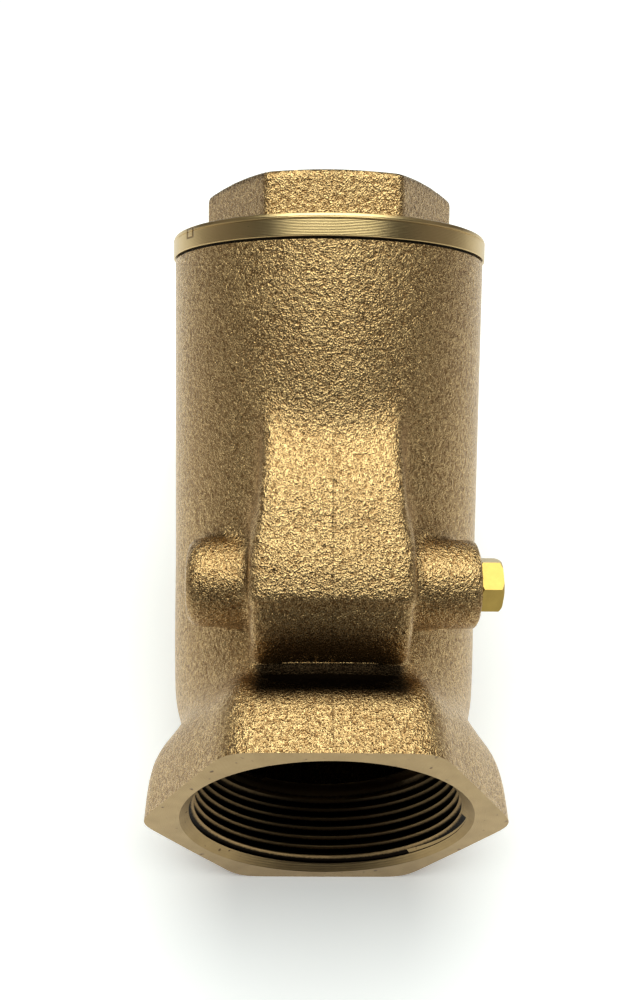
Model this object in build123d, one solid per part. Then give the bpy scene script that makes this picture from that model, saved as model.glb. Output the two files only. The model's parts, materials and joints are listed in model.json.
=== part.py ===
from build123d import *
from math import cos, radians, sin
import os

os.makedirs("parts", exist_ok=True)

# Y-pattern swing check valve with 2 inch female pipe threads, in millimetres.
# It stands on the lower flats of its two hubs. The origin is on that plane, midway along
# the run. +X is the direction of flow and +Z is up. The neck leans downstream.
# In the neck's own frame x points down towards the outlet, y is the valve's Y, and z runs
# up the neck from the point where its axis meets the run's.

# Run and hubs
RUN_LENGTH = 150.0
HUB_FLATS = 69.0
HUB_CORNER_R = 8.0
HUB_LENGTH = 20.5
HUB_SHOULDER_R = 6.5
HUB_EDGE = 0.5
WAIST_R = 30.5
BORE_R = 26.0
THREAD_R = 29.1
THREAD_DEPTH = 19.0
MOUTH_CHAMFER = 1.9

# Neck
NECK_TILT = 45.0
NECK_FOOT = 50.0
NECK_R = 36.0
NECK_BORE_R = 31.5
NECK_TOP = 85.4
NECK_BOTTOM = -26.0
NECK_BOTTOM_R = 8.0
BELLY_Z = 3.0
BELLY_R = 6.0
NECK_THREAD_R = 33.2
NECK_THREAD_DEPTH = 14.0

# Seat wall between the inlet chamber and the neck chamber
SEAT_H = 2.0
SEAT_BORE_R = 25.0
SEAT_LAND_R = 27.5
SEAT_LAND_RISE = 3.0
WEB_THICKNESS = 5.0

# Hinge housing on the upstream side of the neck
PIN_OUT = 30.0
PIN_H = 15.0
HOUSING_R = 17.5
HOUSING_WIDTH = 32.5
HOUSING_WALL = 4.5
SHELF_WIDTH = 30.0
SHELF_OUT = 42.5
SHELF_TOP = 35.8
SHELF_SLOPE_TOP = 53.7
BOSS_R = 9.5
BOSS_LEFT = 30.0
BOSS_RIGHT = -31.3
BOSS_EDGE_R = 3.0

# Cast valley between the inlet hub and the housing's barrel
VALLEY_FROM_FACE = 20.7
VALLEY_H = 34.4
VALLEY_R = 5.6
VALLEY_WIDTH = 30.0

# Hinge pin and its plug
PIN_R = 2.75
PIN_CLEARANCE = 0.05
PIN_LEFT_END = 25.5
PIN_RIGHT_END = -20.0
PLUG_R = 4.0
PLUG_CLEARANCE = 0.05
PLUG_INNER_END = -20.5
PLUG_HEX_FLATS = 10.4
PLUG_HEX_HEIGHT = 4.8
PLUG_HEX_CHAMFER = 0.7

# Screwed cap
GASKET_THICKNESS = 0.5
GASKET_INNER_R = 33.4
GASKET_OUTER_R = 35.4
FLANGE_R = 36.3
FLANGE_THICKNESS = 4.7
FLANGE_EDGE = 0.4
CAP_HEX_FLATS = 50.0
CAP_HEX_HEIGHT = 13.6
CAP_HEX_CORNER_R = 2.5
CAP_DOME_R = 130.0
CAP_SKIRT_R = 33.1
CAP_SKIRT_BORE_R = 28.5
CAP_SKIRT_LENGTH = 13.0
CAP_CORE_R = 19.0
CAP_TOP_WALL = 5.0

# Disc assembly
CLOSED_GAP = 0.2
SEAT_DISC_R = 26.9
SEAT_DISC_THICKNESS = 3.0
SEAT_DISC_HOLE_R = 5.1
HOLDER_R = 28.0
HOLDER_RECESS_R = 27.0
HOLDER_RIM_LIP = 0.8
HOLDER_RIM_TOP = 7.0
HOLDER_TOP = 8.3
HOLDER_BOSS_R = 10.0
STEM_R = 4.0
STEM_TOP = 26.0
STUB_R = 5.0
RETAINER_WASHER_R = 13.0
RETAINER_WASHER_THICKNESS = 1.5
RETAINER_NUT_FLATS = 17.0
RETAINER_NUT_HEIGHT = 5.0
STUB_BEYOND_NUT = 0.8

# Hanger and its fasteners
HANGER_HUB_R = 6.0
HANGER_HUB_WIDTH = 22.0
HANGER_GAP = 0.4
HANGER_EYE_R = 9.5
HANGER_EYE_CLEARANCE = 0.08
HANGER_EYE_HEIGHT = 7.0
HANGER_ARM_HALF_WIDTH = 6.5
HANGER_RIB_HALF_WIDTH = 1.8
HANGER_RIB_TOP = 19.5
HANGER_WASHER_R = 8.0
HANGER_WASHER_THICKNESS = 1.2
HANGER_NUT_FLATS = 14.0
HANGER_NUT_HEIGHT = 5.5
NUT_BORE_CLEARANCE = 0.02
COTTER_R = 0.9
COTTER_HOLE_R = 1.0
COTTER_H = 24.0
COTTER_EYE_R = 2.2
COTTER_LEG = 3.4

TILT = radians(NECK_TILT)
INLET_X = -RUN_LENGTH / 2
RUN_Z = HUB_FLATS / 2
NECK = Plane(
    origin=(INLET_X + NECK_FOOT, 0, RUN_Z),
    x_dir=(sin(TILT), 0, -cos(TILT)),
    z_dir=(cos(TILT), 0, sin(TILT)),
)
RUN = Plane(origin=(INLET_X, 0, RUN_Z), x_dir=(0, 1, 0), z_dir=(1, 0, 0))
LOW = (Align.CENTER, Align.CENTER, Align.MIN)


def rod(radius, low, high):
    """A round bar about the local z axis, from low to high."""
    return Pos(0, 0, low) * Cylinder(radius, high - low, align=LOW)


def ring(outer, inner, low, high):
    """A round ring about the local z axis."""
    return rod(outer, low, high) - rod(inner, low - 1, high + 1)


def cross_rod(radius, left, right):
    """A round bar along Y on the hinge pin's axis, in the neck's frame."""
    bar = Rot(X=-90) * Cylinder(radius, left - right, align=LOW)
    return Pos(-PIN_OUT, right, PIN_H) * bar


def hexagon_bar(flats, low, high, turn=0.0):
    """A hexagon bar about the local z axis, with corners on x when turn is zero."""
    outline = Rot(Z=turn) * RegularPolygon(flats / 2, 6, major_radius=False)
    return Pos(0, 0, low) * extrude(outline, high - low)


def above(height):
    """The half space over a height up the neck, as a large block."""
    size = 2 * RUN_LENGTH
    return Pos(0, 0, height) * Box(size, size, size, align=LOW)


def end_edges(solid, axis, last):
    """The edges of the face at one end of an axis."""
    return solid.faces().sort_by(axis)[-1 if last else 0].edges()


def hub():
    """One hexagon hub, its mouth face at local z = 0 and its shoulder rounded behind."""
    outline = RegularPolygon(HUB_FLATS / 2, 6, major_radius=False)
    outline = fillet(outline.vertices(), HUB_CORNER_R)
    block = extrude(outline, HUB_LENGTH)
    block = fillet(end_edges(block, Axis.Z, True), HUB_SHOULDER_R)
    return chamfer(end_edges(block, Axis.Z, False), HUB_EDGE)


def pipe_mouth():
    """The threaded bore of one hub as a plain bore, with the mouth's lead-in chamfer."""
    lead_in = Cone(THREAD_R + MOUTH_CHAMFER, THREAD_R, MOUTH_CHAMFER, align=LOW)
    return lead_in + rod(THREAD_R, 0, THREAD_DEPTH)


def outlet_end(part):
    """The same hub feature, turned round to the outlet end."""
    return Rot(Z=180) * part


def housing_block(radius, width, shelf_width, shelf_out, shelf_top, slope_top):
    """The hinge housing's shape: a barrel about the pin and a ramp and slope above it."""
    barrel = cross_rod(radius, width / 2, -width / 2)
    side = Polyline(
        (-PIN_OUT + radius * 0.9, PIN_H),
        (-PIN_OUT - radius * 0.94, PIN_H + radius * 0.3),
        (-shelf_out, shelf_top),
        (-NECK_R + 4, slope_top),
        (-NECK_R + 12, slope_top),
        close=True,
    )
    shelf = extrude(Plane.XZ * make_face(side), shelf_width / 2, both=True)
    return barrel + shelf


def housing_valley():
    """The round-bottomed valley between the inlet hub and the housing's barrel."""
    bar = Rot(X=90) * Cylinder(VALLEY_R, VALLEY_WIDTH)
    bar = Pos(INLET_X + VALLEY_FROM_FACE, 0, RUN_Z + VALLEY_H) * bar
    return bar - NECK * cross_rod(HOUSING_R, RUN_LENGTH / 2, -RUN_LENGTH / 2)


def body_outside():
    """The casting's outer shape: run, two hubs, neck, hinge housing and pin bosses."""
    run = RUN * rod(WAIST_R, HUB_EDGE, RUN_LENGTH - HUB_EDGE)
    neck = rod(NECK_R, NECK_BOTTOM, NECK_TOP)
    neck = NECK * fillet(end_edges(neck, Axis.Z, False), NECK_BOTTOM_R)
    neck = neck & (Pos(0, 0, BELLY_Z) * Box(300, 300, 300, align=LOW))
    neck = fillet(end_edges(neck, Axis.Z, False), BELLY_R)
    bosses = cross_rod(BOSS_R, BOSS_LEFT, BOSS_RIGHT)
    bosses = fillet(end_edges(bosses, Axis.Y, True), BOSS_EDGE_R)
    bosses = chamfer(end_edges(bosses, Axis.Y, False), 1.0)
    housing = housing_block(
        HOUSING_R,
        HOUSING_WIDTH,
        SHELF_WIDTH,
        SHELF_OUT,
        SHELF_TOP,
        SHELF_SLOPE_TOP,
    )
    first_hub = RUN * hub()
    run_and_neck = run + neck + first_hub + outlet_end(first_hub) - housing_valley()
    return run_and_neck + NECK * housing + NECK * bosses


def body_inside():
    """Everything the casting is hollow for."""
    mouth = RUN * pipe_mouth()
    web_top = SEAT_H - SEAT_LAND_RISE
    web_low = web_top - WEB_THICKNESS
    bore = RUN * rod(BORE_R, THREAD_DEPTH - 1, RUN_LENGTH - THREAD_DEPTH + 1)
    inlet_chamber = bore - NECK * above(web_low)
    outlet_chamber = bore & (NECK * above(web_top))
    chamber = rod(NECK_BORE_R, web_top, NECK_TOP + 1)
    cap_thread = rod(NECK_THREAD_R, NECK_TOP - NECK_THREAD_DEPTH, NECK_TOP + 1)
    seat_hole = rod(SEAT_BORE_R, web_low - 1, SEAT_H + 1)
    pocket = housing_block(
        HOUSING_R - HOUSING_WALL,
        HOUSING_WIDTH - 2 * HOUSING_WALL,
        SHELF_WIDTH - 2 * HOUSING_WALL,
        SHELF_OUT - HOUSING_WALL,
        SHELF_TOP - HOUSING_WALL,
        SHELF_SLOPE_TOP - 2 * HOUSING_WALL,
    )
    pin_hole = cross_rod(PIN_R + PIN_CLEARANCE, PIN_LEFT_END + 0.5, BOSS_RIGHT - 1)
    plug_hole = cross_rod(PLUG_R + PLUG_CLEARANCE, PLUG_INNER_END, BOSS_RIGHT - 1)
    neck_hollow = chamber + cap_thread + seat_hole + pocket + pin_hole + plug_hole
    return inlet_chamber + outlet_chamber + NECK * neck_hollow + mouth + outlet_end(mouth)


def body():
    """The valve body: one casting with an integral seat."""
    land = ring(SEAT_LAND_R, SEAT_BORE_R, SEAT_H - SEAT_LAND_RISE - 1, SEAT_H)
    return body_outside() - body_inside() + NECK * land


def bonnet_cap():
    """The screwed cap: skirt, turned flange and domed hexagon boss, hollow from below."""
    flange_low = NECK_TOP + GASKET_THICKNESS
    flange_top = flange_low + FLANGE_THICKNESS
    skirt_low = NECK_TOP - CAP_SKIRT_LENGTH
    cap_top = flange_top + CAP_HEX_HEIGHT
    flange = rod(FLANGE_R, flange_low, flange_top)
    flange = chamfer(flange.edges().filter_by(GeomType.CIRCLE), FLANGE_EDGE)
    outline = Rot(Z=30) * RegularPolygon(CAP_HEX_FLATS / 2, 6, major_radius=False)
    outline = fillet(outline.vertices(), CAP_HEX_CORNER_R)
    boss = Pos(0, 0, flange_top - 1) * extrude(outline, CAP_HEX_HEIGHT + 1)
    boss = boss & (Pos(0, 0, cap_top - CAP_DOME_R) * Sphere(CAP_DOME_R))
    skirt = rod(CAP_SKIRT_R, skirt_low, flange_low + 1)
    hollow = rod(CAP_SKIRT_BORE_R, skirt_low - 1, flange_low)
    core = rod(CAP_CORE_R, skirt_low - 1, cap_top - CAP_TOP_WALL)
    return NECK * (flange + boss + skirt - hollow - core)


def cap_gasket():
    """The flat ring between the neck's top and the cap's flange."""
    return NECK * ring(GASKET_OUTER_R, GASKET_INNER_R, NECK_TOP, NECK_TOP + GASKET_THICKNESS)


def hinge_pin():
    """The straight pin that the hanger swings on."""
    pin = cross_rod(PIN_R, PIN_LEFT_END, PIN_RIGHT_END)
    return NECK * chamfer(pin.edges().filter_by(GeomType.CIRCLE), 0.5)


def hinge_pin_plug():
    """The screwed plug that closes the pin's hole, with a corner of its hexagon facing out."""
    stem = cross_rod(PLUG_R, PLUG_INNER_END - 0.2, BOSS_RIGHT - 0.5)
    outer_end = BOSS_RIGHT - PLUG_HEX_HEIGHT
    head = hexagon_bar(PLUG_HEX_FLATS, 0, PLUG_HEX_HEIGHT)
    corner_r = PLUG_HEX_FLATS / 2 / cos(radians(30)) + 0.1
    blank = rod(corner_r, 0, PLUG_HEX_HEIGHT)
    blank = chamfer(blank.edges().filter_by(GeomType.CIRCLE), PLUG_HEX_CHAMFER)
    head = Pos(-PIN_OUT, outer_end, PIN_H) * Rot(X=-90) * (head & blank)
    return NECK * (stem + head)


def eye_low():
    """The height of the hanger eye's lower face."""
    return HOLDER_TOP + HANGER_GAP


def eye_top():
    """The height of the hanger eye's upper face."""
    return eye_low() + HANGER_EYE_HEIGHT


def disc_hanger():
    """The swinging arm: a hub on the pin, a ribbed arm and an eye for the disc's stem."""
    hub_bar = cross_rod(HANGER_HUB_R, HANGER_HUB_WIDTH / 2, -HANGER_HUB_WIDTH / 2)
    eye = rod(HANGER_EYE_R, eye_low(), eye_top())
    outline = Polyline(
        (-PIN_OUT, -HANGER_HUB_WIDTH / 2),
        (-PIN_OUT, HANGER_HUB_WIDTH / 2),
        (0, HANGER_ARM_HALF_WIDTH),
        (0, -HANGER_ARM_HALF_WIDTH),
        close=True,
    )
    arm = Pos(0, 0, eye_low() + 1) * extrude(make_face(outline), HANGER_EYE_HEIGHT - 2)
    rib_length = PIN_OUT - HANGER_EYE_R + 1
    rib = Box(rib_length, 2 * HANGER_RIB_HALF_WIDTH, HANGER_RIB_TOP - eye_low() - 1, align=LOW)
    rib = Pos(-PIN_OUT + rib_length / 2, 0, eye_low() + 1) * rib
    rib_slope = Pos(-HANGER_EYE_R, 0, eye_top() + 1.5) * Rot(Y=20) * Box(60, 20, 20, align=LOW)
    pin_hole = cross_rod(PIN_R + PIN_CLEARANCE, HANGER_HUB_WIDTH, -HANGER_HUB_WIDTH)
    stem_hole = rod(STEM_R + HANGER_EYE_CLEARANCE, 0, STEM_TOP)
    return NECK * (hub_bar + eye + arm + (rib - rib_slope) - pin_hole - stem_hole)


def disc_low():
    """The height of the seat disc's sealing face when closed."""
    return SEAT_H + CLOSED_GAP


def disc_holder():
    """The disc holder: a shallow cup with a stem above and a stub below."""
    recess_top = disc_low() + SEAT_DISC_THICKNESS
    rim_low = disc_low() + HOLDER_RIM_LIP
    stub_low = disc_low() - RETAINER_WASHER_THICKNESS - RETAINER_NUT_HEIGHT - STUB_BEYOND_NUT
    profile = Polyline(
        (0, stub_low),
        (STUB_R, stub_low),
        (STUB_R, recess_top),
        (HOLDER_RECESS_R, recess_top),
        (HOLDER_RECESS_R, rim_low),
        (HOLDER_R, rim_low),
        (HOLDER_R, HOLDER_RIM_TOP - 1),
        (HOLDER_R - 1, HOLDER_RIM_TOP),
        (HOLDER_BOSS_R + 2, HOLDER_RIM_TOP),
        (HOLDER_BOSS_R, HOLDER_TOP),
        (STEM_R, HOLDER_TOP),
        (STEM_R, STEM_TOP - 0.6),
        (STEM_R - 0.6, STEM_TOP),
        (0, STEM_TOP),
        close=True,
    )
    turned = revolve(Plane.XZ * make_face(profile), Axis.Z)
    cross_hole = Pos(0, 0, COTTER_H) * Rot(X=90) * Cylinder(COTTER_HOLE_R, 4 * STEM_R)
    return NECK * (turned - cross_hole)


def seat_disc():
    """The soft sealing ring held in the holder."""
    return NECK * ring(SEAT_DISC_R, SEAT_DISC_HOLE_R, disc_low(), disc_low() + SEAT_DISC_THICKNESS)


def seat_disc_washer():
    """The plate that clamps the soft ring."""
    top = disc_low()
    return NECK * ring(RETAINER_WASHER_R, SEAT_DISC_HOLE_R, top - RETAINER_WASHER_THICKNESS, top)


def hexagon_nut(flats, bore, low, high):
    """A nut about the neck's axis with turned chamfers on its corners."""
    corner_r = flats / 2 / cos(radians(30))
    blank = chamfer(rod(corner_r, low, high).edges().filter_by(GeomType.CIRCLE), 0.6)
    nut = hexagon_bar(flats, low, high) & blank
    return NECK * (nut - rod(bore, low - 1, high + 1))


def seat_disc_nut():
    """The nut under the clamping plate."""
    top = disc_low() - RETAINER_WASHER_THICKNESS
    return hexagon_nut(RETAINER_NUT_FLATS, STUB_R + NUT_BORE_CLEARANCE, top - RETAINER_NUT_HEIGHT, top)


def hanger_washer():
    """The washer between the hanger's eye and its nut."""
    low = eye_top() + HANGER_GAP
    return NECK * ring(HANGER_WASHER_R, STEM_R + NUT_BORE_CLEARANCE, low, low + HANGER_WASHER_THICKNESS)


def hanger_nut():
    """The nut that keeps the disc's stem in the hanger."""
    low = eye_top() + HANGER_GAP + HANGER_WASHER_THICKNESS
    return hexagon_nut(HANGER_NUT_FLATS, STEM_R + NUT_BORE_CLEARANCE, low, low + HANGER_NUT_HEIGHT)


def cotter_pin():
    """The split pin through the stem above the nut, with a round eye and spread legs."""
    reach = STEM_R + 1.3
    wire_r = 0.65
    shank = Pos(0, 0, COTTER_H) * Rot(X=90) * Cylinder(COTTER_R, 2 * reach)
    eye = Pos(0, reach + COTTER_EYE_R - wire_r, COTTER_H) * Torus(COTTER_EYE_R - wire_r, wire_r)
    leg = Pos(0, wire_r - reach, COTTER_H) * Rot(Y=90) * Cylinder(wire_r, 2 * COTTER_LEG)
    return NECK * (shank + eye + leg)


NODES = {
    "body": body,
    "bonnet_cap": bonnet_cap,
    "cap_gasket": cap_gasket,
    "hinge_pin": hinge_pin,
    "hinge_pin_plug": hinge_pin_plug,
    "disc_hanger": disc_hanger,
    "disc_holder": disc_holder,
    "seat_disc": seat_disc,
    "seat_disc_washer": seat_disc_washer,
    "seat_disc_nut": seat_disc_nut,
    "hanger_washer": hanger_washer,
    "hanger_nut": hanger_nut,
    "cotter_pin": cotter_pin,
}

for name, make in NODES.items():
    shape = make()
    export_step(shape, f"parts/{name}.step")
    print(name, len(shape.solids()), "solid", round(shape.volume / 1000, 2), "cm3")
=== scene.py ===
import bpy
import bmesh
import json
from math import cos, pi, radians, sin
from mathutils import Matrix, Vector


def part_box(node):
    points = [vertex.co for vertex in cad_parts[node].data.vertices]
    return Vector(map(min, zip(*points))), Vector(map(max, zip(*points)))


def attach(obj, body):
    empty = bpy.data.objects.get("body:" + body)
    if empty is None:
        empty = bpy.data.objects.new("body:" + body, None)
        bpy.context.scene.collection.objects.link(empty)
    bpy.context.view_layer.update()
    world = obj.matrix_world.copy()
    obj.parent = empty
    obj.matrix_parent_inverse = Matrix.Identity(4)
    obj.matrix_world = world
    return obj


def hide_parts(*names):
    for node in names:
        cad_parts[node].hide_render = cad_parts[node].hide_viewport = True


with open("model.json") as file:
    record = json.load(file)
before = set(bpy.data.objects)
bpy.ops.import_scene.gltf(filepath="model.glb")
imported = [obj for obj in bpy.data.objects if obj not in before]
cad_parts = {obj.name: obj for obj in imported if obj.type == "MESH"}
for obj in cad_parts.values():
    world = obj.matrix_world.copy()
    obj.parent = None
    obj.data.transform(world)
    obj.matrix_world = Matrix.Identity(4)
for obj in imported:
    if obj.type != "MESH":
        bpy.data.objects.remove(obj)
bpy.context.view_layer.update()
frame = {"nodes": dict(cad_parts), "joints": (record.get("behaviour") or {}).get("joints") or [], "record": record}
MM = 0.001

# Places that the frame gives: the run's axis, the neck's axis and the hinge pin's axis.
RECORD = frame["record"]
MOUNTS = {mount["name"]: mount for mount in RECORD["mounts"]}
JOINTS = {joint["name"]: joint for joint in frame["joints"]}
RUN_Z = MOUNTS["inlet_port"]["pos_m"][2]
PORT_R = MOUNTS["inlet_port"]["dims"]["r_mm"] * MM
INLET_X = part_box("body")[0].x
OUTLET_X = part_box("body")[1].x
NECK_FOOT = Vector(JOINTS["disc_spin"]["pos_m"])
NECK_UP = Vector(JOINTS["disc_spin"]["axis"]).normalized()
NECK_OUT = Vector((0, -1, 0)).cross(NECK_UP).normalized()
PIN = Vector(JOINTS["hanger_swing"]["pos_m"]) - NECK_FOOT
PIN_UP = PIN.dot(NECK_UP)
PIN_OUT = PIN.dot(NECK_OUT)

# The casting's own sizes
HUB_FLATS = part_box("body")[0].z * -2 + 2 * RUN_Z
HUB_LENGTH = 20.5 * MM
WAIST_R = 30.5 * MM
BORE_R = 26 * MM
THREAD_DEPTH = 19 * MM
MOUTH_CHAMFER = 1.9 * MM
FACING_R = 60 * MM
NECK_R = 36 * MM
NECK_BORE_R = 31.5 * MM
NECK_TOP = 85.4 * MM
NECK_BOTTOM = -26 * MM
NECK_OVERRUN = 3 * MM
BELLY_Z = 3 * MM
NECK_FACING_R = NECK_R + 1.5 * MM
NECK_THREAD_R = 33.2 * MM
NECK_THREAD_DEPTH = 14 * MM
SEAT_UP = 2 * MM
SEAT_BORE_R = 25 * MM
SEAT_LAND_R = 27.5 * MM
WEB_TOP = -1 * MM
WEB_LOW = -6 * MM
HOUSING_R = 17.5 * MM
HOUSING_WIDTH = 32.5 * MM
HOUSING_WALL = 4.5 * MM
SHELF_WIDTH = 30 * MM
SHELF_OUT = 42.5 * MM
SHELF_TOP = 35.8 * MM
SHELF_SLOPE = radians(59.6)
SHELF_RAMP = radians(15.4)
VALLEY_X = INLET_X + 20.7 * MM
VALLEY_UP = 34.4 * MM
VALLEY_R = 5.6 * MM
VALLEY_WIDTH = 30 * MM
BOSS_R = 9.5 * MM
BOSS_LEFT = 30 * MM
BOSS_RIGHT = -31.3 * MM

# Blends of the casting's rounded edges and inner corners
HUB_CORNER = 6.4 * MM
HUB_SHOULDER = 19 * MM
NECK_BOTTOM_EDGE = 14 * MM
BELLY_EDGE = 11 * MM
BOSS_LEFT_EDGE = 5 * MM
BOSS_RIGHT_EDGE = 2 * MM
BOSS_ROOT = 3 * MM
HOUSING_EDGE = 4 * MM
HOUSING_ROOT = 4.5 * MM
VALLEY_EDGE = 5 * MM
VALLEY_END = 4 * MM
WAIST_BLEND = 7 * MM
CORE_BLEND = 2 * MM
CAP_EDGE = 1.6 * MM
CAP_CORNER = 1.4 * MM
CAP_FOOT_R = 30 * MM
CAP_FOOT_DROP = 0.3 * MM
CAP_ROOT = 3 * MM

# The cap's own sizes
GASKET = 0.5 * MM
FLANGE_R = 36.3 * MM
FLANGE_THICKNESS = 4.7 * MM
FLANGE_EDGE = 0.72 * MM
FLANGE_GROOVE_DROP = 1.15 * MM
FLANGE_GROOVE_DEPTH = 0.16 * MM
MARK_Y = 30.6 * MM
MARK_DROP = 1.4 * MM
CAP_HEX_FLATS = 50 * MM
CAP_HEX_HEIGHT = 13.6 * MM
CAP_DOME_R = 130 * MM
CAP_SKIRT_R = 33.1 * MM
CAP_SKIRT_BORE_R = 28.5 * MM
CAP_SKIRT_LENGTH = 13 * MM
CAP_CORE_R = 19 * MM

# The pipe thread
THREAD_PITCH = 25.4 / 11.5 * MM
THREAD_HEIGHT = 1.5 * MM
THREAD_TAPER = 1 / 32

# Where the painted shade in the valley starts and where it is full, in millimetres
SHADE_TO_HUB = (-12.5, -5.8)
SHADE_TO_NECK = (10.0, 8.0)
SHADE_FLOOR = (20.0, 24.0)
SHADE_TOP = (37.6, 34.0)
SHADE_SIDE = (17.0, 13.6)

# How finely the rules are meshed, and the skin that makes up for what meshing takes off
CAST_VOXEL = 0.95 * MM
CORE_VOXEL = 1.4 * MM
CAP_VOXEL = 0.7 * MM
CAST_SKIN = 0.1 * MM

# How near a face lies to a machined plane to count as on it
ON_PLANE = 0.02 * MM

FLOOR_HALF = 3.0
LENS = 33.45
SENSOR = 36
CAMERA_FROM_INLET = Vector((-72.98, 8.08, 194.37)) * MM
CAMERA_RIGHT = Vector((-0.0037, -0.9998, 0.0214)).normalized()
CAMERA_AIM = Vector((0.6394, -0.0188, -0.7686)).normalized()


class Sock:
    """A node's output that takes Python arithmetic by adding Math nodes to its tree."""

    def __init__(self, tree, socket):
        self.tree = tree
        self.socket = socket

    def math(self, operation, *operands):
        node = self.tree.nodes.new("ShaderNodeMath")
        node.operation = operation
        for place, operand in enumerate(operands):
            plug(self.tree, node.inputs[place], operand)
        return Sock(self.tree, node.outputs[0])

    def __add__(self, other):
        return self.math("ADD", self, other)

    __radd__ = __add__

    def __sub__(self, other):
        return self.math("SUBTRACT", self, other)

    def __rsub__(self, other):
        return self.math("SUBTRACT", other, self)

    def __mul__(self, other):
        return self.math("MULTIPLY", self, other)

    __rmul__ = __mul__

    def __truediv__(self, other):
        return self.math("DIVIDE", self, other)

    def __neg__(self):
        return self.math("MULTIPLY", self, -1.0)

    def __abs__(self):
        return self.math("ABSOLUTE", self)

    def root(self):
        return self.math("SQRT", self)

    def wave(self):
        return self.math("SINE", self)

    def least(self, other, blend=0.0):
        """The smaller of two, with a fillet of about 0.57 of the blend where they meet."""
        if blend:
            return self.math("SMOOTH_MIN", self, other, blend)
        return self.math("MINIMUM", self, other)

    def most(self, other, blend=0.0):
        """The larger of two, with a rounded edge of about 0.57 of the blend."""
        if blend:
            return self.math("SMOOTH_MAX", self, other, blend)
        return self.math("MAXIMUM", self, other)

    def step(self, low, high):
        """0 below low, 1 above high and a smooth ramp between; low may be the larger."""
        node = self.tree.nodes.new("ShaderNodeMapRange")
        node.interpolation_type = "SMOOTHSTEP"
        plug(self.tree, node.inputs["Value"], self)
        node.inputs["From Min"].default_value = min(low, high)
        node.inputs["From Max"].default_value = max(low, high)
        node.inputs["To Min"].default_value = 0.0 if low < high else 1.0
        node.inputs["To Max"].default_value = 1.0 if low < high else 0.0
        return Sock(self.tree, node.outputs["Result"])


def plug(tree, socket, value):
    """Links a socket to a Sock, or sets its value."""
    if isinstance(value, Sock):
        tree.links.new(value.socket, socket)
    else:
        socket.default_value = value


class Maker:
    """Adds nodes to one tree."""

    def __init__(self, tree):
        self.tree = tree

    def node(self, kind, settings=None, sockets=None):
        """One node: its settings first, then the values or links of its sockets."""
        made = self.tree.nodes.new(kind)
        for name, value in (settings or {}).items():
            setattr(made, name, value)
        for name, value in (sockets or {}).items():
            plug(self.tree, made.inputs[name], value)
        return made

    def out(self, made, name=0):
        return Sock(self.tree, made.outputs[name])

    def split(self, vector):
        parts = self.node("ShaderNodeSeparateXYZ", sockets={"Vector": vector})
        return [self.out(parts, axis) for axis in "XYZ"]

    def noise(self, vector, scale, detail=2.0, rough=0.5):
        """Noise from 0 to 1 with features of about 1 / scale."""
        values = {"Vector": vector, "Scale": scale, "Detail": detail, "Roughness": rough}
        return self.out(self.node("ShaderNodeTexNoise", sockets=values), "Fac")

    def mix(self, factor, first, second):
        """A colour between two colours."""
        made = self.node("ShaderNodeMix", {"data_type": "RGBA"}, {"Factor": factor})
        plug(self.tree, made.inputs[6], first)
        plug(self.tree, made.inputs[7], second)
        return Sock(self.tree, made.outputs[2])


# ---------------------------------------------------------------- shapes as distance rules


class Place:
    """A point's coordinates: along the run, and up, out of and across the neck."""

    def __init__(self, make, position):
        x, y, z = make.split(position)
        self.x = x
        self.y = y
        self.run_z = z - RUN_Z
        self.across = abs(y)
        dx = x - NECK_FOOT.x
        dz = z - NECK_FOOT.z
        self.up = dx * NECK_UP.x + dz * NECK_UP.z
        self.out = dx * NECK_OUT.x + dz * NECK_OUT.z
        self.run_r = (y * y + self.run_z * self.run_z).root()
        self.neck_r = (y * y + self.out * self.out).root()
        pin_out = self.out - PIN_OUT
        pin_up = self.up - PIN_UP
        self.pin_r = (pin_out * pin_out + pin_up * pin_up).root()


def hexagon(flat_way, corner_way, flats, blend):
    """A hexagon prism's distance, with flats across flat_way."""
    level = flat_way * cos(radians(60))
    slant = corner_way * sin(radians(60))
    return abs(flat_way).most(abs(level + slant), blend).most(abs(level - slant), blend) - flats / 2


def housing(at, radius, width, shelf_width, shelf_out, shelf_top, blend):
    """The hinge housing: a barrel about the pin, and above it a ramp and a slope."""
    barrel = (at.pin_r - radius).most(at.across - width / 2, blend)
    slope = (at.out - shelf_out) * sin(SHELF_SLOPE) + (at.up - shelf_top) * cos(SHELF_SLOPE)
    ramp = (at.out - shelf_out) * cos(SHELF_RAMP) + (at.up - shelf_top) * sin(SHELF_RAMP)
    side = at.across - shelf_width / 2 + (at.up - shelf_top) * 0.05
    shelf = ramp.most(slope, blend).most(side, blend)
    shelf = shelf.most(PIN_UP - at.up).most(-at.out)
    return barrel.least(shelf, blend)


def valley(at):
    """The round-bottomed valley between the inlet hub and the housing's barrel."""
    along = at.x - VALLEY_X
    rise = at.run_z - VALLEY_UP
    channel = (along * along + rise * rise).root() - VALLEY_R
    return channel.most(at.across - VALLEY_WIDTH / 2, VALLEY_END)


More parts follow.
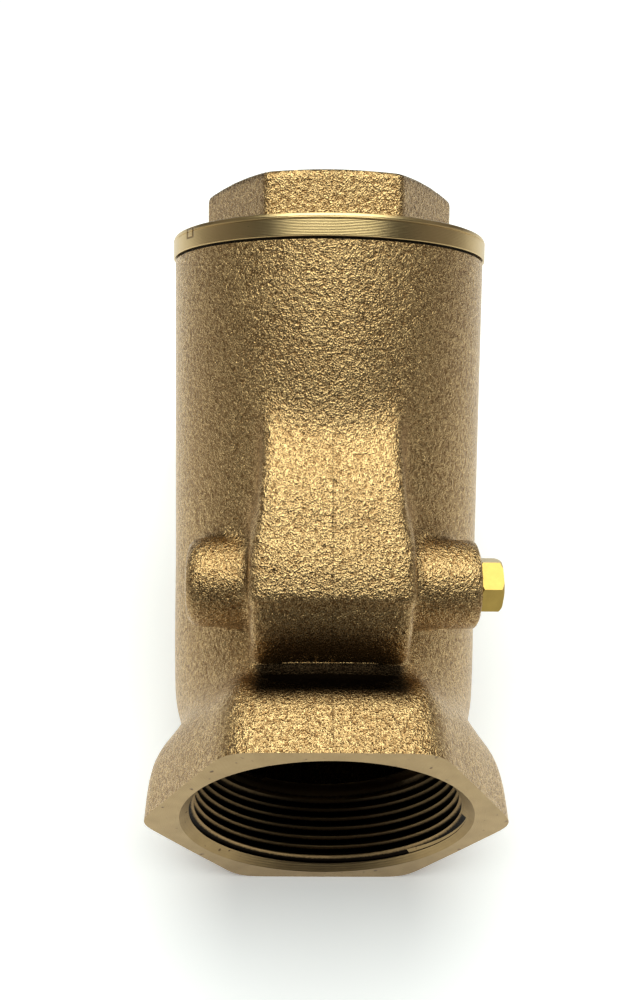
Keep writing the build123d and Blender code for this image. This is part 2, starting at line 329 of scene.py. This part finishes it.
def casting_outside(at, blend):
    """The body casting before machining, with its ends run past the mouths."""
    hub = hexagon(at.run_z, at.y, HUB_FLATS, HUB_CORNER)
    inlet_hub = hub.most(at.x - (INLET_X + HUB_LENGTH), HUB_SHOULDER)
    outlet_hub = hub.most((OUTLET_X - HUB_LENGTH) - at.x, HUB_SHOULDER)
    neck = (at.neck_r - NECK_R).most(NECK_BOTTOM - at.up, NECK_BOTTOM_EDGE)
    neck = neck.most(BELLY_Z - RUN_Z - at.run_z, BELLY_EDGE)
    neck = neck.most(at.up - NECK_TOP - NECK_OVERRUN)
    boss = (at.pin_r - BOSS_R).most(at.y - BOSS_LEFT, BOSS_LEFT_EDGE)
    boss = boss.most(BOSS_RIGHT - at.y, BOSS_RIGHT_EDGE)
    hinge = housing(
        at, HOUSING_R, HOUSING_WIDTH, SHELF_WIDTH, SHELF_OUT, SHELF_TOP, HOUSING_EDGE
    )
    shape = (at.run_r - WAIST_R).least(neck, 1.5 * blend)
    shape = shape.least(inlet_hub, blend).least(outlet_hub, blend)
    shape = shape.most(-valley(at), VALLEY_EDGE)
    shape = shape.least(neck.least(hinge.least(boss, BOSS_ROOT), HOUSING_ROOT))
    return shape + CAST_SKIN


def casting_core(at, blend):
    """The casting's cored passages: inlet, outlet, neck chamber and hinge pocket."""
    bore = at.run_r - BORE_R
    inlet = bore.most(at.up - WEB_LOW).most(INLET_X + THREAD_DEPTH - MM - at.x)
    outlet = bore.most(WEB_TOP - at.up).most(at.x - (OUTLET_X - THREAD_DEPTH + MM))
    chamber = (at.neck_r - NECK_BORE_R).most(WEB_TOP - at.up, blend)
    chamber = chamber.most(at.up - NECK_TOP - NECK_OVERRUN)
    land = (at.neck_r - SEAT_LAND_R).most(at.up - SEAT_UP)
    pocket = housing(
        at,
        HOUSING_R - HOUSING_WALL,
        HOUSING_WIDTH - 2 * HOUSING_WALL,
        SHELF_WIDTH - 2 * HOUSING_WALL,
        SHELF_OUT - HOUSING_WALL,
        SHELF_TOP - HOUSING_WALL,
        blend,
    )
    upper = outlet.least(chamber, blend).least(pocket, blend)
    return inlet.least(upper.most(-land))


def cap_casting_rule(at, blend):
    """The cap's rough hexagon with a slightly domed top, run into the flange below."""
    top = NECK_TOP + GASKET + FLANGE_THICKNESS + CAP_HEX_HEIGHT
    hexagon_wall = hexagon(at.out, at.y, CAP_HEX_FLATS, CAP_CORNER)
    dome = at.up - top + at.neck_r * at.neck_r / (2 * CAP_DOME_R)
    bottom = NECK_TOP - at.up
    foot_top = at.up - (NECK_TOP + GASKET + FLANGE_THICKNESS - CAP_FOOT_DROP)
    foot = (at.neck_r - CAP_FOOT_R).most(foot_top).most(bottom)
    return hexagon_wall.most(dome, blend).most(bottom).least(foot, CAP_ROOT) + CAST_SKIN


def solid_from_rule(name, rule, low, high, voxel, blend):
    """A closed mesh of where a distance rule is below zero, by a Geometry Nodes volume."""
    tree = bpy.data.node_groups.new(name, "GeometryNodeTree")
    make = Maker(tree)
    for label, kind in (
        ("Low corner", "NodeSocketVector"),
        ("High corner", "NodeSocketVector"),
        ("Voxel size", "NodeSocketFloat"),
        ("Blend", "NodeSocketFloat"),
    ):
        tree.interface.new_socket(label, in_out="INPUT", socket_type=kind)
    tree.interface.new_socket("Geometry", in_out="OUTPUT", socket_type="NodeSocketGeometry")
    sizes = make.node("NodeGroupInput")
    low_corner = make.out(sizes, "Low corner")
    high_corner = make.out(sizes, "High corner")
    voxel_size = make.out(sizes, "Voxel size")
    spans = [a - b for a, b in zip(make.split(high_corner), make.split(low_corner))]
    position = make.out(make.node("GeometryNodeInputPosition"))
    distance = rule(Place(make, position), make.out(sizes, "Blend"))
    values = {"Density": -distance, "Background": -1.0, "Min": low_corner, "Max": high_corner}
    for axis, span in zip("XYZ", spans):
        values[f"Resolution {axis}"] = span / voxel_size
    cube = make.node("GeometryNodeVolumeCube", sockets=values)
    skin = make.node(
        "GeometryNodeVolumeToMesh",
        {"resolution_mode": "GRID"},
        {"Volume": make.out(cube), "Threshold": 0.0},
    )
    real = make.node("GeometryNodeRealizeInstances", sockets={"Geometry": make.out(skin)})
    finish = make.node("GeometryNodeSetMaterial", sockets={"Geometry": make.out(real)})
    finish.inputs["Material"].default_value = MATERIALS["cast_bronze"]
    result = make.node("NodeGroupOutput")
    tree.links.new(finish.outputs[0], result.inputs[0])
    holder = bpy.data.objects.new(name, bpy.data.meshes.new(name))
    bpy.context.scene.collection.objects.link(holder)
    modifier = holder.modifiers.new(name, "NODES")
    modifier.node_group = tree
    given = {"Low corner": low, "High corner": high, "Voxel size": voxel, "Blend": blend}
    for item in tree.interface.items_tree:
        if item.in_out == "INPUT":
            modifier[item.identifier] = given[item.name]
    return settled(holder)


def settled(piece):
    """The piece with its modifiers applied to its mesh."""
    view = bpy.context.evaluated_depsgraph_get()
    mesh = bpy.data.meshes.new_from_object(piece.evaluated_get(view))
    piece.modifiers.clear()
    piece.data = mesh
    return piece


def machine(piece, *tools):
    """Cuts each tool out of the piece, as machining cuts a casting."""
    for tool in tools:
        modifier = piece.modifiers.new("cut", "BOOLEAN")
        modifier.operation = "DIFFERENCE"
        modifier.solver = "MANIFOLD"
        modifier.object = tool
        settled(piece)
        bpy.data.objects.remove(tool)
    return piece


# ---------------------------------------------------------------- shapes by mesh code


def inlet_frame():
    """Local z runs into the inlet mouth from its face."""
    turn = Matrix(((0, 0, 1), (1, 0, 0), (0, 1, 0))).to_4x4()
    return Matrix.Translation((INLET_X, 0, RUN_Z)) @ turn


def outlet_frame():
    """Local z runs into the outlet mouth from its face."""
    turn = Matrix(((0, 0, -1), (-1, 0, 0), (0, 1, 0))).to_4x4()
    return Matrix.Translation((OUTLET_X, 0, RUN_Z)) @ turn


def neck_frame():
    """Local z runs up the neck, local x out of its front."""
    side = NECK_UP.cross(NECK_OUT)
    turn = Matrix((NECK_OUT, side, NECK_UP)).transposed().to_4x4()
    return Matrix.Translation(NECK_FOOT) @ turn


def new_object(name, bm, place):
    """Makes an object of a bmesh, with its place in its mesh and its faces outwards."""
    bmesh.ops.remove_doubles(bm, verts=bm.verts, dist=1e-6)
    bmesh.ops.recalc_face_normals(bm, faces=bm.faces)
    bm.transform(place)
    mesh = bpy.data.meshes.new(name)
    bm.to_mesh(mesh)
    bm.free()
    if mesh.polygons and signed_volume(mesh) < 0:
        mesh.flip_normals()
    made = bpy.data.objects.new(name, mesh)
    bpy.context.scene.collection.objects.link(made)
    return made


def signed_volume(mesh):
    """Positive when a closed mesh's faces point outwards."""
    total = 0.0
    for face in mesh.polygons:
        corners = [mesh.vertices[v].co for v in face.vertices]
        for second, third in zip(corners[1:], corners[2:]):
            total += corners[0].dot(second.cross(third))
    return total


def lathe(name, profile, place, segments=160):
    """A turned solid about local z from (radius, height) points; radius 0 closes a pole."""
    bm = bmesh.new()
    rings = []
    for radius, height in profile:
        if radius == 0:
            rings.append([bm.verts.new((0, 0, height))] * segments)
            continue
        turn = [2 * pi * i / segments for i in range(segments)]
        rings.append([bm.verts.new((radius * cos(t), radius * sin(t), height)) for t in turn])
    closed = profile[0][0] != 0
    pairs = list(zip(rings, rings[1:])) + ([(rings[-1], rings[0])] if closed else [])
    for lower, upper in pairs:
        for i in range(segments):
            j = (i + 1) % segments
            corners = list(dict.fromkeys((lower[i], lower[j], upper[j], upper[i])))
            bm.faces.new(corners)
    return new_object(name, bm, place)


def round_tool(radius, low, high, place):
    """A plain cutter about local z."""
    return lathe("round_tool", ((0, low), (radius, low), (radius, high), (0, high)), place, 128)


def thread_tool(place, segments=112):
    """A tap: the tapered pipe thread as a solid, fading out at its inner end.

    Each of its points is a share of the pitch and a height, 1 at the thread's root."""
    points = ((0.0, 1.0), (0.06, 1.0), (0.5, 0.0), (0.56, 0.0))
    start = -2 * THREAD_PITCH
    turns = int((THREAD_DEPTH - start) / THREAD_PITCH)
    fade = 2.2 * THREAD_PITCH
    root_r = PORT_R + THREAD_HEIGHT / 2

    def point(step, share, crest):
        depth = start + (step / segments + share) * THREAD_PITCH
        cut = min(max((THREAD_DEPTH - depth) / fade, 0), 1)
        radius = root_r - THREAD_HEIGHT * (1 - crest * cut) - depth * THREAD_TAPER
        angle = 2 * pi * step / segments
        return (radius * cos(angle), radius * sin(angle), depth)

    bm = bmesh.new()
    count = turns * segments
    rows = [[bm.verts.new(point(i, s, c)) for s, c in points] for i in range(count + segments + 1)]
    for i in range(count):
        near = rows[i] + [rows[i + segments][0]]
        far = rows[i + 1] + [rows[i + segments + 1][0]]
        for a, b, c, d in zip(near, far, far[1:], near[1:]):
            bm.faces.new((a, b, c, d))
    first = [rows[i][0] for i in range(segments + 1)] + rows[0][:0:-1]
    last = [rows[count + i][0] for i in range(segments + 1)] + rows[count][:0:-1]
    for loop, depth in ((first, start), (last, THREAD_DEPTH)):
        centre = bm.verts.new((0, 0, depth))
        for a, b in zip(loop, loop[1:] + loop[:1]):
            bm.faces.new((a, b, centre))
    for row in rows[count + 1:]:
        for vertex in row[1:]:
            bm.verts.remove(vertex)
    return new_object("tap", bm, place)


def body_casting():
    """The valve body: cast skin, cored passages, then the machined mouths, neck and seat."""
    low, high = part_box("body")
    low = low - Vector((4 * MM, 1.5 * MM, 1.5 * MM))
    high = high + Vector((4 * MM, 1.5 * MM, 5.5 * MM))
    piece = solid_from_rule("valve_body", casting_outside, low, high, CAST_VOXEL, WAIST_BLEND)
    core = solid_from_rule("core", casting_core, low, high, CORE_VOXEL, CORE_BLEND)
    machine(piece, core)
    lead_r = PORT_R + MOUTH_CHAMFER
    lead_depth = 2 * MOUTH_CHAMFER - 0.9 * MM
    lead_in = ((0, -MM), (lead_r + MM, -MM), (PORT_R - MM, lead_depth), (0, 2 * MM))
    for place in (inlet_frame(), outlet_frame()):
        facing = round_tool(FACING_R, -12 * MM, 0, place)
        machine(piece, facing, thread_tool(place), lathe("lead_in", lead_in, place, 144))
    neck = neck_frame()
    machine(
        piece,
        round_tool(NECK_FACING_R, NECK_TOP, NECK_TOP + 30 * MM, neck),
        round_tool(NECK_THREAD_R, NECK_TOP - NECK_THREAD_DEPTH, NECK_TOP + 5 * MM, neck),
        round_tool(SEAT_BORE_R, WEB_LOW - 2 * MM, SEAT_UP + MM, neck),
    )
    return piece


def cap_pieces():
    """The screwed cap: its rough cast hexagon, and the turned flange with its skirt."""
    neck = neck_frame()
    flange_low = NECK_TOP + GASKET
    flange_top = flange_low + FLANGE_THICKNESS
    low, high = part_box("bonnet_cap")
    margin = Vector((3 * MM, 3 * MM, 3 * MM))
    hexagon_piece = solid_from_rule(
        "cap_hexagon", cap_casting_rule, low - margin, high + margin, CAP_VOXEL, CAP_EDGE
    )
    machine(hexagon_piece, round_tool(FACING_R, NECK_TOP - 5 * MM, flange_top, neck))
    edge = FLANGE_EDGE
    groove = flange_top - FLANGE_GROOVE_DROP
    dip = FLANGE_GROOVE_DEPTH
    profile = (
        (CAP_SKIRT_BORE_R, NECK_TOP - CAP_SKIRT_LENGTH),
        (CAP_SKIRT_R, NECK_TOP - CAP_SKIRT_LENGTH),
        (CAP_SKIRT_R, flange_low),
        (FLANGE_R - 0.2 * edge, flange_low),
        (FLANGE_R, flange_low + 0.2 * edge),
        (FLANGE_R, groove - dip),
        (FLANGE_R - dip, groove),
        (FLANGE_R, groove + dip),
        (FLANGE_R, flange_top - edge),
        (FLANGE_R - 0.3 * edge, flange_top - 0.3 * edge),
        (FLANGE_R - edge, flange_top),
        (CAP_CORE_R, flange_top),
        (CAP_SKIRT_BORE_R, flange_low + 0.4 * MM),
    )
    flange = lathe("cap_flange", profile, neck, 256)
    return hexagon_piece, flange


# ---------------------------------------------------------------- finishes


def finish(name, **constants):
    """A new material's maker and its shader, with its constant sockets set."""
    material = bpy.data.materials.new(name)
    material.use_nodes = True
    tree = material.node_tree
    shader = tree.nodes["Principled BSDF"]
    for socket, value in constants.items():
        shader.inputs[socket.replace("_", " ")].default_value = value
    return material, Maker(tree), shader


def surface_place(make):
    """The point's place in millimetres."""
    coords = make.node("ShaderNodeTexCoord")
    scaled = make.node("ShaderNodeVectorMath", {"operation": "SCALE"}, {"Scale": 1 / MM})
    plug(make.tree, scaled.inputs[0], make.out(coords, "Object"))
    return make.out(scaled)


def bumped(make, shader, height, depth):
    """Feeds a height from 0 to 1, worth a depth in metres, to the shader's normal."""
    bump = make.node("ShaderNodeBump", sockets={"Distance": depth, "Height": height})
    plug(make.tree, shader.inputs["Normal"], make.out(bump))


def run_radius(parts):
    """The distance from the run's axis in millimetres."""
    height = parts[2] - RUN_Z / MM
    return (parts[1] * parts[1] + height * height).root()


def neck_radius(parts):
    """The distance from the neck's axis in millimetres."""
    dx = parts[0] - NECK_FOOT.x / MM
    dz = parts[2] - NECK_FOOT.z / MM
    out = dx * NECK_OUT.x + dz * NECK_OUT.z
    return (parts[1] * parts[1] + out * out).root()


def painted_inner_shade(parts):
    """Painted shade mask: 1 on the walls inside the run and the neck and down in the valley by the barrel, where
    little light reaches.
    """
    dx = parts[0] - NECK_FOOT.x / MM
    dz = parts[2] - NECK_FOOT.z / MM
    up = dx * NECK_UP.x + dz * NECK_UP.z
    out = dx * NECK_OUT.x + dz * NECK_OUT.z
    # Painted shade on the walls inside the run and the neck
    run = run_radius(parts).step(28.3, 27.2)
    neck = neck_radius(parts).step(33.2, 32.4) * up.step(-2.5, -1.0) * up.step(86.0, 85.2)
    pin_out = out - PIN_OUT / MM
    pin_up = up - PIN_UP / MM
    skin_r = (HOUSING_R + CAST_SKIN) / MM
    off_barrel = (pin_out * pin_out + pin_up * pin_up).root().step(skin_r, skin_r + 0.3)
    along = parts[0] - VALLEY_X / MM
    run_up = parts[2] - RUN_Z / MM
    # Painted shade down in the valley between the inlet hub and the barrel's underside
    valley_shade = along.step(*SHADE_TO_HUB) * along.step(*SHADE_TO_NECK) * run_up.step(*SHADE_FLOOR)
    valley_shade = valley_shade * run_up.step(*SHADE_TOP) * abs(parts[1]).step(*SHADE_SIDE) * off_barrel
    return run.most(neck).most(valley_shade)


def cast_bronze():
    """Sand-cast bronze: a fine gold grain over brown hollows, with painted shade, nearly black, inside the valve
    and down in the valley by the barrel.
    """
    material, make, shader = finish("cast_bronze", Metallic=1.0)
    place = surface_place(make)
    parts = make.split(place)
    grain = make.noise(place, 3.1, 2.0, 0.5)
    swell = make.noise(place, 1.1, 2.0, 0.5)
    patch = make.noise(place, 0.055, 3.0, 0.6)
    tone = (grain * 0.6 + swell * 0.4).step(0.34, 0.62)
    seam = abs(parts[1] + (swell - 0.5) * 0.8).step(0.24, 0.08)
    seam = seam * (parts[0] * NECK_OUT.x + parts[2] * NECK_OUT.z).step(78.0, 80.0)
    pit = make.noise(place, 0.42, 1.0).step(0.77, 0.83)
    base = make.mix(tone, (0.25, 0.142, 0.057, 1), (0.64, 0.46, 0.235, 1))
    base = make.mix(patch.step(0.42, 0.7) * 0.2, base, (0.3, 0.18, 0.08, 1))
    base = make.mix((seam * 0.35).most(pit * 0.7), base, (0.08, 0.045, 0.02, 1))
    # Painted shade: near black inside the run and the neck and in the valley under the barrel
    base = make.mix(painted_inner_shade(parts) * 0.95, base, (0.012, 0.007, 0.004, 1))
    plug(make.tree, shader.inputs["Base Color"], base)
    plug(make.tree, shader.inputs["Roughness"], 0.31 - tone * 0.06)
    bumped(make, shader, grain * 0.5 + swell * 0.6 - seam * 0.06 - pit * 0.4, 0.5 * MM)
    return material


def machined_face():
    """A faced bronze surface: fine rings about the run's axis and a few nicks."""
    material, make, shader = finish("machined_face", Metallic=1.0)
    place = surface_place(make)
    parts = make.split(place)
    radius = run_radius(parts)
    drift = make.noise(place, 0.25, 2.0)
    lines = (radius * (2 * pi / 0.42) + drift * 5).wave()
    fine = make.noise(place, 2.6, 2.0)
    nick = make.noise(place, 0.55, 1.0).step(0.7, 0.78)
    base = make.mix(drift, (0.38, 0.27, 0.135, 1), (0.52, 0.385, 0.205, 1))
    base = make.mix(nick, base, (0.2, 0.13, 0.07, 1))
    plug(make.tree, shader.inputs["Base Color"], base)
    plug(make.tree, shader.inputs["Roughness"], 0.32 + fine * 0.16)
    bumped(make, shader, lines * 0.3 + fine * 0.5 - nick * 1.5, 0.03 * MM)
    return material


def cut_thread():
    """The cut pipe thread: tan crests over roots painted nearly black as shade, and painted shade deeper into the
    bore.
    """
    material, make, shader = finish("cut_thread", Metallic=1.0)
    place = surface_place(make)
    parts = make.split(place)
    depth = OUTLET_X / MM - abs(parts[0])
    radius = run_radius(parts) + depth * THREAD_TAPER
    grit = make.noise(place, 1.8, 3.0)
    # Painted shade: the thread's roots are coloured nearly black, as shade falls in them
    root = (radius + (grit - 0.5) * 0.3).step(PORT_R / MM - 0.5, PORT_R / MM)
    base = make.mix(root, (0.44, 0.31, 0.16, 1), (0.012, 0.008, 0.005, 1))
    # Painted shade: darker deeper into the bore, where less light reaches
    base = make.mix(depth.step(6.0, THREAD_DEPTH / MM) * 0.6, base, (0.02, 0.013, 0.008, 1))
    plug(make.tree, shader.inputs["Base Color"], base)
    plug(make.tree, shader.inputs["Roughness"], 0.3 + grit * 0.25)
    bumped(make, shader, grit, 0.06 * MM)
    return material


def turned_flange():
    """The cap's flange: olive-gold brass with fine turning rings about the neck."""
    material, make, shader = finish("turned_flange", Metallic=1.0)
    place = surface_place(make)
    parts = make.split(place)
    radius = neck_radius(parts)
    up = parts[0] * NECK_UP.x + parts[2] * NECK_UP.z
    stain = make.noise(place, 0.12, 3.0, 0.6)
    fine = make.noise(place, 2.2, 2.0)
    lines = ((radius + up) * (2 * pi / 0.3) + stain * 4).wave()
    flange_top = NECK_TOP + GASKET + FLANGE_THICKNESS + NECK_FOOT.dot(NECK_UP)
    mark_up = (flange_top - MARK_DROP) / MM
    beside = abs(parts[1] - MARK_Y / MM)
    above = abs(up - mark_up)
    mark = beside.step(0.95, 0.8) * above.step(1.2, 1.05)
    mark = mark * (1 - beside.step(0.6, 0.45) * above.step(0.85, 0.7)) * radius.step(35.5, 35.9)
    mark = mark * (parts[0] - NECK_UP.x * mark_up).step(0.0, -1.0)
    base = make.mix(stain, (0.5, 0.38, 0.19, 1), (0.66, 0.5, 0.27, 1))
    base = make.mix(mark, base, (0.3, 0.2, 0.09, 1))
    plug(make.tree, shader.inputs["Base Color"], base)
    plug(make.tree, shader.inputs["Roughness"], 0.24 + fine * 0.14)
    bumped(make, shader, lines * 0.08 + fine * 0.06 - mark, 0.12 * MM)
    return material


def turned_metal(name, low, high, rough):
    """A small turned part: slight tone changes and fine tool marks."""
    material, make, shader = finish(name, Metallic=1.0)
    place = surface_place(make)
    tone = make.noise(place, 0.5, 3.0)
    fine = make.noise(place, 3.0, 2.0)
    plug(make.tree, shader.inputs["Base Color"], make.mix(tone, low, high))
    plug(make.tree, shader.inputs["Roughness"], rough + fine * 0.12)
    bumped(make, shader, fine, 0.02 * MM)
    return material


def seat_polymer():
    """The soft seat disc: off-white, waxy and slightly mottled."""
    material, make, shader = finish("seat_polymer", Metallic=0.0)
    place = surface_place(make)
    mottle = make.noise(place, 0.4, 3.0)
    base = make.mix(mottle, (0.78, 0.77, 0.72, 1), (0.88, 0.87, 0.83, 1))
    plug(make.tree, shader.inputs["Base Color"], base)
    plug(make.tree, shader.inputs["Roughness"], 0.34 + mottle * 0.15)
    bumped(make, shader, mottle, 0.05 * MM)
    return material


def gasket_fibre():
    """The flat gasket: dark fibre with a faint fleck."""
    material, make, shader = finish("gasket_fibre", Metallic=0.0)
    place = surface_place(make)
    fleck = make.noise(place, 2.0, 3.0)
    base = make.mix(fleck.step(0.5, 0.75), (0.05, 0.04, 0.03, 1), (0.16, 0.13, 0.1, 1))
    plug(make.tree, shader.inputs["Base Color"], base)
    plug(make.tree, shader.inputs["Roughness"], 0.7 + fleck * 0.2)
    bumped(make, shader, fleck, 0.05 * MM)
    return material


def pale_floor():
    """The plain floor."""
    material, make, shader = finish("pale_floor", Roughness=0.7, Emission_Strength=0.24)
    shader.inputs["Base Color"].default_value = (0.93, 0.93, 0.93, 1)
    shader.inputs["Emission Color"].default_value = (1, 1, 1, 1)
    return material


MATERIALS = {
    "cast_bronze": cast_bronze(),
    "machined_face": machined_face(),
    "cut_thread": cut_thread(),
    "turned_flange": turned_flange(),
    "machined_bronze": turned_metal(
        "machined_bronze", (0.55, 0.4, 0.22, 1), (0.7, 0.54, 0.32, 1), 0.28
    ),
    "turned_brass": turned_metal(
        "turned_brass", (0.34, 0.24, 0.075, 1), (0.44, 0.32, 0.1, 1), 0.24
    ),
    "stainless_steel": turned_metal(
        "stainless_steel", (0.5, 0.5, 0.49, 1), (0.66, 0.66, 0.64, 1), 0.24
    ),
    "seat_polymer": seat_polymer(),
    "gasket_fibre": gasket_fibre(),
}


def paint(piece, *names):
    """Gives a piece its materials."""
    piece.data.materials.clear()
    for name in names:
        piece.data.materials.append(MATERIALS[name])


def paint_body(piece):
    """Cast skin everywhere, but machined mouth faces, threads, seat and neck top."""
    paint(piece, "cast_bronze", "machined_face", "cut_thread")
    cast, faced, threaded = range(3)
    mesh = piece.data
    for face in mesh.polygons:
        centre = face.center
        end = min(centre.x - INLET_X, OUTLET_X - centre.x)
        off = centre - NECK_FOOT
        radius = Vector((centre.y, centre.z - RUN_Z)).length
        up = off.dot(NECK_UP)
        kind = cast
        if end < ON_PLANE or abs(up - NECK_TOP) < ON_PLANE:
            kind = faced
        elif end < THREAD_DEPTH + 0.5 * MM and radius < PORT_R + MOUTH_CHAMFER + 0.3 * MM:
            along = abs(face.normal.x)
            kind = faced if end < MOUTH_CHAMFER and 0.5 < along < 0.9 else threaded
        elif abs(up - SEAT_UP) < ON_PLANE:
            kind = faced
        face.material_index = kind
        face.use_smooth = True
    mesh.set_sharp_from_angle(angle=radians(32))


def smooth(piece, angle=32):
    """Smooth shading with sharp edges past an angle in degrees."""
    piece.data.polygons.foreach_set("use_smooth", [True] * len(piece.data.polygons))
    piece.data.set_sharp_from_angle(angle=radians(angle))


def build_outside():
    """The pieces that are seen from outside."""
    body = body_casting()
    paint_body(body)
    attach(body, "valve_body")
    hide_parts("body")
    hexagon_piece, flange = cap_pieces()
    for piece, name, slot in (
        (hexagon_piece, "cast_bronze", "cast_bronze"),
        (flange, "turned_flange", "machined_bronze"),
    ):
        paint(piece, name)
        smooth(piece)
        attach(piece, "valve_body")
        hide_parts("bonnet_cap")


def finish_nodes():
    """Gives every node that stays its finish, by its slot in the record."""
    for entry in RECORD["subparts"]:
        node = frame["nodes"][entry["node"]]
        node.data.materials.clear()
        node.data.materials.append(MATERIALS[entry["material_slot"]])


# ---------------------------------------------------------------- floor, light and camera


def floor():
    """A plain pale floor."""
    bm = bmesh.new()
    bmesh.ops.create_grid(bm, x_segments=1, y_segments=1, size=FLOOR_HALF)
    made = new_object("floor", bm, Matrix.Identity(4))
    made.data.materials.append(pale_floor())


def light(name, place, aim, size, power, tint=(1, 1, 1)):
    """One soft area light."""
    lamp = bpy.data.lights.new(name, "AREA")
    lamp.shape = "RECTANGLE"
    lamp.size, lamp.size_y = size
    lamp.energy = power
    lamp.color = tint
    made = bpy.data.objects.new(name, lamp)
    made.location = place
    made.rotation_euler = (Vector(aim) - Vector(place)).to_track_quat("-Z", "Y").to_euler()
    bpy.context.scene.collection.objects.link(made)


def studio():
    """Strong soft light from over the valve, and dim warm panels at its sides."""
    centre = (0, 0, 0.06)
    white, warm = (0.95, 1.0, 0.96), (1.0, 0.92, 0.82)
    light("over_key", (0.12, 0.0, 0.8), centre, (0.9, 0.88), 8.8, white)
    light("left_fill", (0.1, 0.8, 0.3), centre, (0.8, 0.8), 0.5, warm)
    light("right_fill", (0.1, -0.8, 0.3), centre, (0.8, 0.8), 0.5, warm)
    world = bpy.data.worlds.new("surround")
    world.use_nodes = True
    world.node_tree.nodes["Background"].inputs["Color"].default_value = (1, 1, 1, 1)
    world.node_tree.nodes["Background"].inputs["Strength"].default_value = 0.04
    bpy.context.scene.world = world


def camera():
    """A close camera over the inlet mouth, looking down the front of the neck."""
    lens = bpy.data.cameras.new("camera")
    lens.sensor_width = SENSOR
    lens.lens = LENS
    made = bpy.data.objects.new("camera", lens)
    back = -CAMERA_AIM
    turn = Matrix((CAMERA_RIGHT, back.cross(CAMERA_RIGHT), back)).transposed().to_4x4()
    place = Vector((INLET_X, 0, RUN_Z)) + CAMERA_FROM_INLET
    made.matrix_world = Matrix.Translation(place) @ turn
    bpy.context.scene.collection.objects.link(made)
    bpy.context.scene.camera = made


bpy.context.scene.view_settings.view_transform = "Standard"
bpy.context.scene.view_settings.exposure = 0.1
bpy.context.scene.view_settings.gamma = 0.85
camera()
studio()
floor()
finish_nodes()
build_outside()
